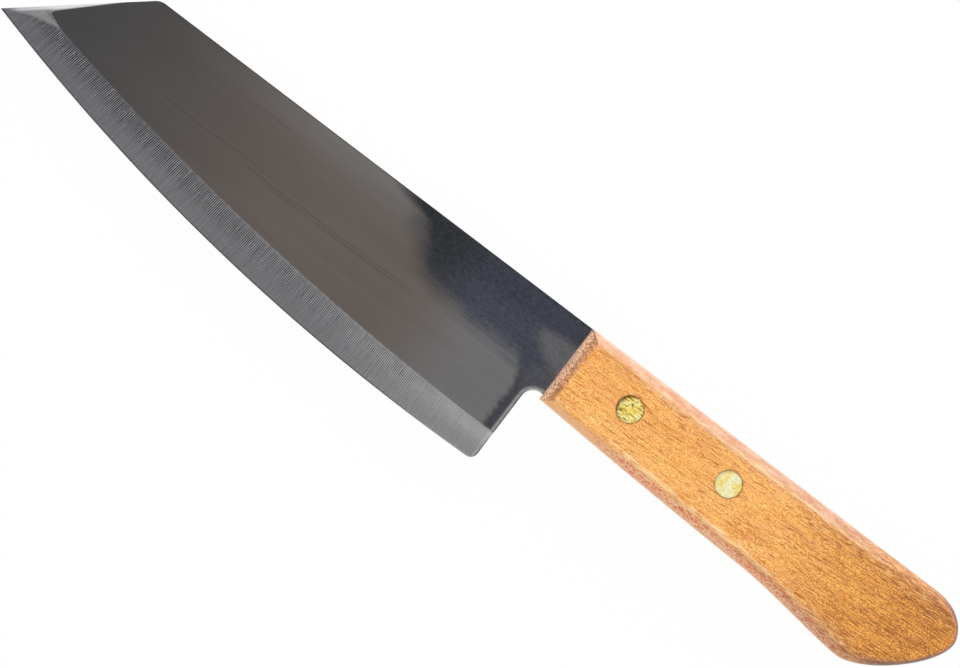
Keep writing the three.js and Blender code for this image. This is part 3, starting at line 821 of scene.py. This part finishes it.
GRAIN_SLANT = 0.045
BOTTOM_START = FRONT_WIDTH + 0.2
BOTTOM_SLOPE = 0.0424
FLARE_DROP = 1.9
MITRE_WIDTH = 2.4
MITRE_SLOPE = 0.12
WOOD_RELIEF = 0.05
FACE_TINTS = (colour(255, 194, 112), colour(255, 180, 94))
# The upper band's tints also hold a painted highlight.
UPPER_BAND_AND_SHEEN_TINTS = (colour(218, 162, 130), colour(236, 196, 172))
LOWER_BAND_TINTS = (colour(255, 192, 146), colour(255, 214, 172))
# The butt's tints are painted shade.
BUTT_SHADE_TINTS = (colour(84, 48, 34), colour(150, 94, 62))
CHAMFER_TINTS = (colour(226, 180, 146), colour(190, 132, 86))

wood, start = new_material("varnished_wood")
place = local_millimetres(start)
x, y, z = parts(place)
depth = 0 - y
level = start.math("ABSOLUTE", z) - handle_half / MM
from_bottom = BOTTOM_START + BOTTOM_SLOPE * x + FLARE_DROP * step(x, 64, 98) - depth
lower_side = step(depth, 10, 14)
towards_butt = step(x, 52, 114)


def by_length(front, butt):
    """A colour that changes from one at the handle's front to another at its butt."""
    return mix(towards_butt, colour(*front), colour(*butt))


# The grain runs along the handle, a little askew and unsteady, in streaks of several widths and in fine
# grains. It is darker towards the butt, along the bottom of the flare and at the front of the spine.
bend = noise(place, (0.03, 0.08, 0.08), 2) - 0.5
wobble = noise(place, (0.28, 0.5, 0.5), 1, (2, 0, 7)) - 0.5
aside = y + 3 * bend + 0.6 * wobble - GRAIN_SLANT * x
bent = start.node("ShaderNodeCombineXYZ", {}, {0: x, 1: aside, 2: z + 3 * bend})
ragged = noise(bent, (0.3, 1.3, 1.3), 3, (6, 1, 0)) - 0.5
flared = step(x, 70, 96) * fall(from_bottom + 3 * ragged, 4.5, 7.5)
by_front = fall(x, 10, 26) * fall(depth, 7, 13)
rosy = step(noise(bent, (0.1, 0.4, 0.4), 2, (7, 7, 3)), 0.45, 0.65)
broad_streaks = step(noise(bent, (0.03, 0.55, 0.55), 2, (4, 9, 2)), 0.46, 0.66)
pale_streaks = step(noise(bent, (0.2, 2.2, 2.2), 2, (9, 4, 0)), 0.5, 0.72)
uneven = 0.12 * (noise(bent, (0.06, 0.25, 0.25), 2, (8, 2, 6)) - 0.5)
long_drawn = noise(bent, (0.11, 2.8, 2.8), 2, (1, 6, 3)) + uneven + 0.02 * towards_butt
grains = noise(bent, (3.2, 3.8, 3.8), 2)
dull = fall(grains, 0.3, 0.55)
lit = step(grains, 0.45, 0.7)
wood_tint = mix(step(noise(bent, (0.012, 0.22, 0.22), 2), 0.3, 0.7), *FACE_TINTS)
wood_tint = overlaid(wood_tint, [
    (towards_butt, colour(240, 156, 56)),
    (step(x, 94, 108) * 0.5, colour(214, 138, 50)),
    (flared * 0.5, colour(170, 98, 46)),
    (by_front * 0.3, colour(246, 160, 88)),
    (rosy * 0.35, by_length((250, 166, 104), (212, 132, 58))),
    (broad_streaks * 0.45, by_length((232, 146, 62), (176, 100, 26))),
    (pale_streaks * 0.45, by_length((255, 210, 126), (248, 182, 84))),
    (step(long_drawn, 0.52, 0.66) * 0.9, by_length((220, 128, 46), (162, 88, 20))),
    (dull * (0.75 + 0.1 * towards_butt), by_length((212, 124, 44), (156, 84, 16))),
    (lit * (0.7 + 0.15 * towards_butt), by_length((255, 220, 136), (255, 194, 98))),
])

# Open pores are dark dashes along the grain, closer together by the spine and towards the butt.
crowd = uneven + 0.04 * towards_butt + 0.03 * fall(depth, 3, 9)
pores = step(noise(bent, (0.3, 3.2, 3.2), 2, (3, 0, 5)) + crowd, 0.57, 0.69)
short_pores = step(noise(bent, (1.1, 3.4, 3.4), 2, (0, 8, 2)) + crowd, 0.57, 0.69)
wood_tint = overlaid(wood_tint, [
    (pores * 0.85, by_length((186, 100, 34), (148, 80, 22))),
    (short_pores * (0.55 - 0.15 * towards_butt), by_length((180, 98, 38), (146, 80, 24))),
])

# Sanding bared the paler wood on the rounded edges, in an uneven band that is pinkish above and flecked
# with red below, and that fades towards the butt. Its pale pink above is partly a painted highlight, the
# varnish's sheen laid into the colour.
on_face = step(level + 1.4 * ragged, -0.7, -0.1)
band_reach = depth + 2 * ragged + 0.9 * fall(x, 10, 28) + 0.5 * step(x, 60, 76)
on_face = on_face * (0.3 + 0.7 * step(band_reach, 2.4, 4.2))
on_band = (1 - on_face) * (0.25 + 0.75 * step(level + ragged, -4.6, -3))
fading = 1 - step(x + 20 * ragged - 12 * lower_side, 74, 98) * (0.55 + 0.3 * lower_side)
patches = noise(bent, (0.16, 0.7, 0.7), 3, (4, 7, 1))
speckle = step(noise(place, (1.2, 2.2, 2.2), 4, (5, 5, 0)), 0.46, 0.58)
speckled = step(x + 10 * ragged, 12, 28)
flecks = speckle * (0.15 + 0.85 * speckled) * (0.65 + 0.3 * step(level, -2.6, -0.8))
upper_band_and_sheen = mix(step(patches, 0.35, 0.65), *UPPER_BAND_AND_SHEEN_TINTS)
upper_band_and_sheen = overlaid(brighten(upper_band_and_sheen, 0.98 - 0.13 * step(x, 15, 45)), [
    (step(x, 84, 100) * 0.7, colour(190, 126, 90)),
    (speckle * 0.32, colour(186, 96, 50)),
])
lower_band = mix(step(patches, 0.35, 0.65), *LOWER_BAND_TINTS)
lower_band = overlaid(lower_band, [
    (1 - speckled, colour(255, 196, 136)),
    (flecks, colour(224, 92, 44)),
    (step(x, 70, 96) * 0.25, colour(196, 112, 62)),
])
wood_tint = mix(on_band * fading * 0.85, wood_tint, mix(lower_side, upper_band_and_sheen, lower_band))

# Broken cream lines of painted highlight follow the border of the face, with a dark seam outside the lower
# one and a tan line of painted shadow at the front of the upper one. Towards the butt the edges are worn in
# dark and pale streaks.
crease_highlight = between(level, (-0.5, -0.2), (-0.12, -0.06)) * fading * step(x, 4, 8)
crease_highlight = crease_highlight * step(patches + 0.6 * ragged, 0.5, 0.64)
broken = step(noise(bent, (0.3, 2.4, 2.4), 3, (2, 2, 9)), 0.42, 0.58)
seam = between(from_bottom + 1.2 * ragged, (1.5, 2.1), (2.6, 3.1))
seam = seam * between(x, (42, 68), (96, 104)) * (0.2 + 0.8 * broken)
lower_highlight = step(from_bottom + 1.2 * ragged, 2.5, 3.1) * fall(from_bottom + 1.6 * ragged, 3.5, 4.2)
lower_highlight = lower_highlight * between(x, (16, 24), (92, 102)) * (1 - 0.5 * step(x, 56, 70))
upper_highlight = step(depth + 0.8 * ragged, 2.0, 2.4) * fall(depth + 1.4 * ragged, 2.8, 3.5)
upper_highlight = upper_highlight * between(x, (14, 26), (82, 98))
# Painted shadow: a darker tan line along the face's border at the front.
front_shadow_line = step(depth, 2.1, 2.5) * fall(depth + ragged, 2.9, 3.5) * between(x, (3, 5), (14, 24))
from_outline = start.math("MINIMUM", depth, from_bottom)
worn = step(x, 66, 90) * fall(from_outline + 3 * ragged, 4, 7.5)
worn_streaks = noise(bent, (0.4, 2.8, 2.8), 3, (8, 8, 1))
wood_tint = overlaid(wood_tint, [
    (crease_highlight * (0.35 + 0.15 * lower_side), colour(255, 222, 178)),
    (seam * 0.5, colour(166, 96, 44)),
    (lower_highlight * (1 - 0.85 * broken), colour(255, 212, 156)),
    (upper_highlight * 0.55 * (1 - broken), colour(255, 212, 152)),
    (worn * 0.5 * fall(worn_streaks, 0.38, 0.5), colour(136, 78, 38)),
    (worn * 0.45 * step(worn_streaks, 0.54, 0.64), colour(248, 196, 146)),
    (front_shadow_line * 0.35, colour(192, 120, 56)),
])

# Painted shade: the butt's rounded end is darkened, a little where it meets the face and deeply over its
# rim, in dark brown specks.
butt_side = step(x + 7 * lower_side, 106, 114)
butt_flush_shade = butt_side * fall(level + 0.3 * ragged, -0.35, 0)
butt_rim_shade = butt_side * fall(level + 0.4 * ragged, -0.7, -0.15)
butt_specks = noise(place, (1.2, 1.6, 0.9), 4, (6, 3, 1))
wood_tint = overlaid(wood_tint, [
    (butt_flush_shade * 0.55, colour(190, 116, 84)),
    (butt_rim_shade * 0.9, mix(step(butt_specks, 0.36, 0.64), *BUTT_SHADE_TINTS)),
])

# The chamfered front end shows the grain's ends as specks, darker on its inner half, and meets the rounded
# edges in dark mitres.
below = FRONT_WIDTH + MITRE_SLOPE * x - depth
mitre = start.math("MINIMUM", depth, below) / MITRE_WIDTH - x / FRONT_CHAMFER
uneven_end = noise(place, (1.4, 0.9, 1.4), 3, (3, 1, 8)) - 0.5
on_front = step(mitre + 0.2 * ragged, -0.05, 0.1)
on_front = on_front * fall(x + 1.2 * ragged + 1.6 * uneven_end, 2.5, 3.5)
end_grains = noise(place, (1.6, 2.0, 2.0), 3, (2, 6, 4))
end_pores = fall(end_grains + 0.3 * uneven_end, 0.34, 0.46)
inner_front = step(x + 0.8 * ragged + uneven_end, 0.9, 2.0)
# Darker near the bottom of the chamfer's inner half.
low_darkening = step(x, 1.4, 2.4) * step(depth + 3 * uneven_end, 15, 17.5) * fall(depth, 19.8, 20.8)
end_tint = brighten(mix(inner_front, *CHAMFER_TINTS), 1.06 + 3.2 * (end_grains - 0.5))
end_tint = overlaid(end_tint, [
    (end_pores * 0.7, colour(124, 68, 38)),
    (low_darkening * 0.6, colour(150, 100, 46)),
])
at_mitre = fall(start.math("ABSOLUTE", mitre - 0.02), 0.06, 0.2) * fall(x, 2.8, 3.8)
wood_tint = overlaid(wood_tint, [
    (on_front * 0.95, end_tint),
    (at_mitre * (0.65 - 0.35 * lower_side), colour(122, 70, 36)),
])

# Dirt and varnish gather round the rivet heads.
for centre in rivet_centres.values():
    dirt = fall(distance(*offsets(x, y, centre)) + 1.5 * uneven_end, 3.45, 4.0)
    wood_tint = mix(dirt * 0.45, wood_tint, colour(124, 76, 26))

wood_rough = 0.40 + 0.12 * grains + 0.2 * pores
wood_relief = 0.5 * grains + 0.3 * pale_streaks - 0.6 * pores - 0.4 * short_pores
surface(start, wood_relief, WOOD_RELIEF, {
    "Base Color": wood_tint, "Roughness": wood_rough, "Coat Weight": 0.25, "Coat Roughness": 0.3,
})
handle.data.materials.append(wood)
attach(handle, "root")
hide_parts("handle")


# Rivets: two compression rivets of brass, each a headed tube pressed over a headed pin from the other
# side. Their heads sit in counterbores and were sanded with the wood, which left scratches along the
# handle with dirt in them. A dark ring of dirt and painted shade lies round each rim.

HEAD_RADIUS = 3.5 * MM
RIM_RADIUS = 0.1 * MM
BARREL_RADIUS = 2.5 * MM
BARREL_BORE = 1.6 * MM
BARREL_END = -3.75 * MM
BARREL_BORE_END = 4.75 * MM
PIN_RADIUS = 1.5 * MM
PIN_END = 3.75 * MM
RIVET_TURNS = 120
FACE_RINGS = 36
RIM_STEPS = 6
RIVET_CREASE = 40
BRASS_RELIEF = 0.012
SCRATCH_SPREAD = 0.18
SCRATCH_REACH = 0.85
SCRATCH_LENGTH = (0.25, 0.8)
SCRATCH_WIDTH = (0.08, 0.22)
SCRATCH_PRESS = (0.4, 1)
scratch_draw = np.random.default_rng(11)


def head_profile(face_out):
    """Radii and heights of a head from its seat to its centre, with a rounded rim, facing up or down."""
    turn = np.linspace(0, math.pi / 2, RIM_STEPS)
    rim_r = HEAD_RADIUS - RIM_RADIUS * (1 - np.cos(turn))
    rim_h = head_top - RIM_RADIUS * (1 - np.sin(turn))
    face_r = np.linspace(HEAD_RADIUS - RIM_RADIUS, 0, FACE_RINGS)[1:]
    radii = np.concatenate(((HEAD_RADIUS,), rim_r, face_r))
    heights = np.concatenate(((seat,), rim_h, np.full(FACE_RINGS - 1, head_top)))
    return np.column_stack((radii, face_out * heights))


def scratched(piece, centre, scratches, depth):
    """Press scratches into a head's face: grooves with the section of a bell curve, drawn at random near
    the handle's direction, deep in the middle and shallow at their ends."""
    points = np.empty(len(piece.data.vertices) * 3)
    piece.data.vertices.foreach_get("co", points)
    points = points.reshape(-1, 3)
    offset = points[:, :2] - centre
    level = np.abs(points[:, 2] - mid_z)
    pressed = np.zeros(len(points))
    for _ in range(scratches):
        way = direction(scratch_draw.normal(0, SCRATCH_SPREAD))
        middle = scratch_draw.uniform(-SCRATCH_REACH, SCRATCH_REACH, 2) * HEAD_RADIUS
        length = scratch_draw.uniform(*SCRATCH_LENGTH) * HEAD_RADIUS
        width = scratch_draw.uniform(*SCRATCH_WIDTH) * MM
        along = (offset - middle) @ way
        aside = (offset - middle) @ np.array((-way[1], way[0]))
        groove = np.exp(-(along / length) ** 2 - (aside / width) ** 2)
        pressed = np.maximum(pressed, groove * scratch_draw.uniform(*SCRATCH_PRESS))
    on_head = smooth_step(level, head_top - RIM_RADIUS, head_top - RIM_RADIUS / 4)
    points[:, 2] -= np.sign(points[:, 2] - mid_z) * pressed * depth * on_head
    piece.data.vertices.foreach_set("co", points.ravel())
    piece.data.update()


def brass(name, centre, wear_and_light):
    """Brass under one rivet's scratches, marks and painted light: sanding lines along the handle, dark
    marks along them, soft patches of painted highlight, and a dark ring of dirt and painted shade round the
    rim, most of it in a crescent on one side."""
    material, start = new_material(name)
    place = local_millimetres(start)
    x, y = parts(place)[:2]
    away_x, away_y = offsets(x, y, centre)
    lines = noise(place, (0.6, 5, 1), 3)
    grit = noise(place, (1.5, 2.4, 1), 3, (2, 7, 0))
    blots = noise(place, (0.8, 1.8, 1), 3, (4, 4, 0))
    shine = noise(place, (0.35, 0.35, 1), 2, (6, 1, 0))
    gritty = grit - 0.5
    marks = step(blots, 0.46, 0.6) * step(lines, 0.4, 0.56)
    # The crescent and the rim ring are dirt and painted shade.
    off_centre = distance(away_x - 0.6, away_y + 0.2)
    crescent = step(off_centre + 1.4 * gritty, 3.2, 3.7) * wear_and_light["crescent"]
    rim = step(distance(away_x, away_y) + 0.9 * gritty, 3.2, 3.5) * 0.6
    # The shine noise lays soft patches of painted highlight on the brass.
    tint = mix(step(shine + 0.4 * (lines - 0.5), 0.35, 0.65), wear_and_light["deep"], wear_and_light["bright"])
    tint = overlaid(brighten(tint, 1 + gritty * wear_and_light["grit"]), [
        (marks * wear_and_light["marks"], colour(104, 66, 2)),
        (start.math("MAXIMUM", crescent, rim), colour(116, 70, 4)),
    ])
    rough = 0.62 + 0.15 * lines + 0.1 * marks
    surface(start, lines + grit - marks, BRASS_RELIEF, {
        "Base Color": tint, "Metallic": 0.55, "Roughness": rough,
        "Specular IOR Level": 0.0, "Specular Tint": (0.92, 0.74, 0.32, 1),
    })
    return material


RIVET_WEAR_AND_LIGHT = {
    "front": {"scratches": 26, "depth": 0.09 * MM, "marks": 0.8, "crescent": 0.85, "grit": 1.4,
              "deep": colour(255, 226, 116), "bright": colour(255, 246, 176)},
    "rear": {"scratches": 12, "depth": 0.05 * MM, "marks": 0.15, "crescent": 0.2, "grit": 0.4,
             "deep": colour(255, 234, 144), "bright": colour(255, 252, 212)},
}
barrel_tube = [(0, BARREL_BORE_END), (BARREL_BORE, BARREL_BORE_END), (BARREL_BORE, BARREL_END),
               (BARREL_RADIUS, BARREL_END), (BARREL_RADIUS, seat)]
pin_shank = [(PIN_RADIUS, -seat), (PIN_RADIUS, PIN_END), (0, PIN_END)]
profiles = {
    "barrel": np.concatenate((barrel_tube, head_profile(1))),
    "pin": np.concatenate((head_profile(-1)[::-1], pin_shank)),
}
for place_name, centre in rivet_centres.items():
    wear_and_light = RIVET_WEAR_AND_LIGHT[place_name]
    finish = brass(f"{place_name}_brass", centre, wear_and_light)
    for half_name, profile in profiles.items():
        piece = turned(f"{place_name}_{half_name}", profile + (0, mid_z), centre, RIVET_TURNS)
        scratched(piece, centre, wear_and_light["scratches"], wear_and_light["depth"])
        shade(piece, RIVET_CREASE, False)
        piece.data.materials.append(finish)
        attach(piece, "root")
        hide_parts(f"{place_name}_rivet_{half_name}")


# Stage: a plain pale floor under soft studio light, and a camera that looks straight down. The room is dark
# overhead and pale around, brighter on the lamp's side, and the lamp itself is not mirrored in the steel.

FLOOR_HALF = 3.0
FLOOR_GLOW = 0.97
CEILING_EDGE = (math.cos(math.radians(34)), math.cos(math.radians(13)))
CEILING_GREY = (0.17, 0.17, 0.17, 1)
WALL_GREY = (0.86, 0.86, 0.86, 1)
WALL_BRIGHT = (1.2, 1.2, 1.2, 1)
LAMP_PLACE = (0.1, 1.0, 0.75)
LAMP_TARGET = (0.02, 0, 0.01)
LAMP_SIZE = 1.0
LAMP_POWER = 8.5
VIEW_TURN = math.radians(37.27)
VIEW_CENTRE = (0.0019, 0.00425)
VIEW_WIDTH = 0.2381
LENS = 200
SENSOR_WIDTH = 36

floor_corners = np.array(((-1, -1, 0), (1, -1, 0), (1, 1, 0), (-1, 1, 0)))
floor = new_piece("floor", FLOOR_HALF * floor_corners, [(0, 1, 2, 3)])
pale, start = new_material("pale_floor")
seen = start.node("ShaderNodeLightPath", {}, {}, "Is Camera Ray")
for ray in ("Is Glossy Ray", "Is Transmission Ray"):
    seen = start.math("MAXIMUM", seen, start.node("ShaderNodeLightPath", {}, {}, ray))
paper = start.node("ShaderNodeBsdfDiffuse", {}, {"Color": (0.92, 0.92, 0.92, 1)})
white = start.node("ShaderNodeEmission", {}, {"Color": (1, 1, 1, 1), "Strength": 1.0})
glowing = start.node("ShaderNodeMixShader", {}, {0: seen * FLOOR_GLOW, 1: paper, 2: white})
start.node("ShaderNodeOutputMaterial", {}, {"Surface": glowing})
floor.data.materials.append(pale)

world = bpy.data.worlds.new("studio")
bpy.context.scene.world = world
world.use_nodes = True
world.node_tree.nodes.clear()
start = Shade(world.node_tree)
sideward, upward = parts(start.node("ShaderNodeTexCoord", {}, {}, "Generated"))[1:]
walls = mix(step(sideward, 0.1, 0.75), WALL_GREY, WALL_BRIGHT)
room = mix(step(upward, *CEILING_EDGE), walls, CEILING_GREY)
light = start.node("ShaderNodeBackground", {}, {"Color": room, "Strength": 1.0})
start.node("ShaderNodeOutputWorld", {}, {"Surface": light})

# A square lamp that faces the knife.
lamp = bpy.data.lights.new("key_softbox", "AREA")
lamp.size = LAMP_SIZE
lamp.energy = LAMP_POWER
lamp_holder = bpy.data.objects.new("key_softbox", lamp)
lamp_holder.location = LAMP_PLACE
aim = np.subtract(LAMP_TARGET, LAMP_PLACE)
lamp_holder.rotation_euler = (math.atan2(math.hypot(aim[0], aim[1]), -aim[2]), 0,
                              math.atan2(aim[0], -aim[1]) + math.pi)
lamp_holder.visible_glossy = False
bpy.context.scene.collection.objects.link(lamp_holder)

camera_data = bpy.data.cameras.new("camera")
camera_data.sensor_width = SENSOR_WIDTH
camera_data.lens = LENS
camera = bpy.data.objects.new("camera", camera_data)
camera.location = (*VIEW_CENTRE, mid_z + VIEW_WIDTH * LENS / SENSOR_WIDTH)
camera.rotation_euler = (0, 0, VIEW_TURN)
bpy.context.scene.collection.objects.link(camera)
bpy.context.scene.camera = camera
bpy.context.scene.view_settings.view_transform = "Standard"
